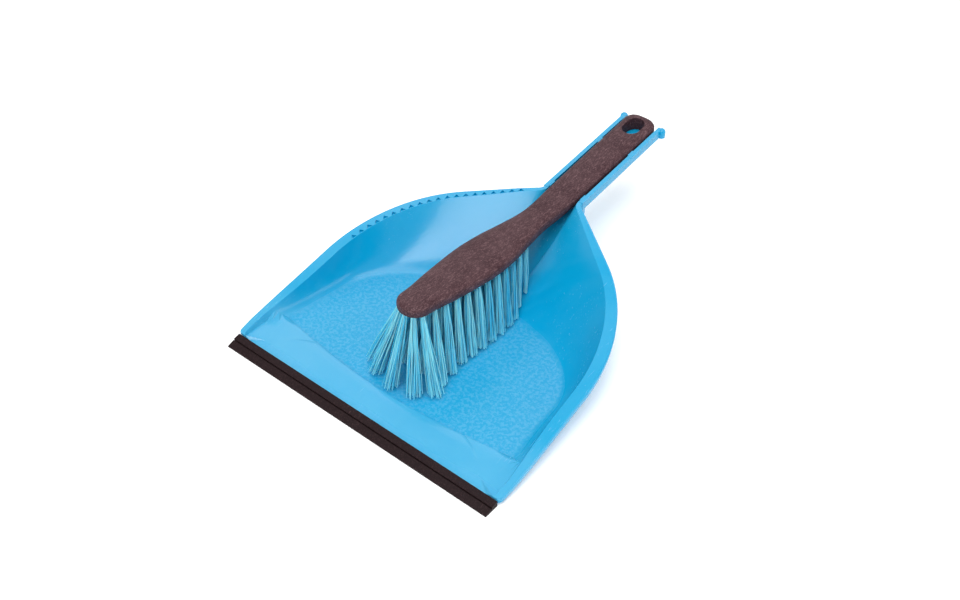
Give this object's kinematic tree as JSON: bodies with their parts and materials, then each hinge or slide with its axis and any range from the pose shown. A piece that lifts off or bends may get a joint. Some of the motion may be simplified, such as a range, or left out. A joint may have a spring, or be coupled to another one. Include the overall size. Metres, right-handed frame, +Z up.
{
  "type": "dust pan and brush set",
  "caption": "Plastic dust pan with a rubber lip and a comb on its rim, and a hand brush with bristle tufts that clips into the pan's channel handle.",
  "frame": {"origin": "middle of the pan's footprint, on the surface it rests on", "axes": "+Y from the lip towards the end of the handle, +Z up, +X to the right when looking from the lip towards the handle"},
  "size_m": [0.2346, 0.334, 0.0684],
  "materials": {
    "pan_plastic": "semi-gloss moulded polypropylene",
    "lip_rubber": "matte",
    "brush_plastic": "grained matte",
    "bristle": "bundled filaments",
    "anchor_steel": "plain"
  },
  "bodies": {
    "pan": {"pan_body": "pan_plastic", "lip_strip": "lip_rubber"},
    "brush": {"brush_body": "brush_plastic", "tuft_anchors": "anchor_steel", "tuft_01": "bristle", "tuft_02": "bristle", "tuft_03": "bristle", "tuft_04": "bristle", "tuft_05": "bristle", "tuft_06": "bristle", "tuft_07": "bristle", "tuft_08": "bristle", "tuft_09": "bristle", "tuft_10": "bristle", "tuft_11": "bristle", "tuft_12": "bristle", "tuft_13": "bristle", "tuft_14": "bristle", "tuft_15": "bristle", "tuft_16": "bristle", "tuft_17": "bristle", "tuft_18": "bristle", "tuft_19": "bristle", "tuft_20": "bristle", "tuft_21": "bristle", "tuft_22": "bristle", "tuft_23": "bristle", "tuft_24": "bristle", "tuft_25": "bristle", "tuft_26": "bristle", "tuft_27": "bristle", "tuft_28": "bristle", "tuft_29": "bristle", "tuft_30": "bristle", "tuft_31": "bristle", "tuft_32": "bristle", "tuft_33": "bristle", "tuft_34": "bristle", "tuft_35": "bristle", "tuft_36": "bristle", "tuft_37": "bristle", "tuft_38": "bristle", "tuft_39": "bristle", "tuft_40": "bristle", "tuft_41": "bristle", "tuft_42": "bristle", "tuft_43": "bristle", "tuft_44": "bristle", "tuft_45": "bristle", "tuft_46": "bristle", "tuft_47": "bristle", "tuft_48": "bristle", "tuft_49": "bristle"}
  },
  "joints": [
    {"name": "brush_lift", "type": "slide", "parent": "pan", "child": "brush", "axis": [0, -0.1063, 0.9943], "range_m": [0, 0.12]}
  ]
}
